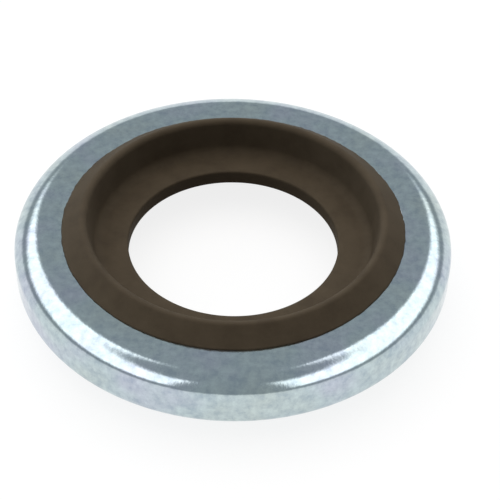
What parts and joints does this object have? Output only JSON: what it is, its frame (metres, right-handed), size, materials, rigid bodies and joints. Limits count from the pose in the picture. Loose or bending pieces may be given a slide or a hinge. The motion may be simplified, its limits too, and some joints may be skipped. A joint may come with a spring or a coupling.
{
  "type": "bonded sealing washer",
  "caption": "Plated steel ring with a brown rubber seal bonded in its bore: a raised lip on each side of the steel and a thin centring web between them.",
  "frame": {"origin": "on the washer's axis, in the plane that the lower lip rests on", "axes": "+Z along the washer's axis, upwards; the washer is round, so +X and +Y are any two directions across it"},
  "size_m": [0.024, 0.024, 0.0048],
  "materials": {
    "zinc_plated_steel": "bright zinc plate with a clear passivate, fine orange-peel grain, tumbled edges",
    "seal_rubber": "matt dark brown moulded rubber"
  },
  "bodies": {
    "root": {"steel_ring": "zinc_plated_steel", "rubber_seal": "seal_rubber"}
  },
  "joints": []
}
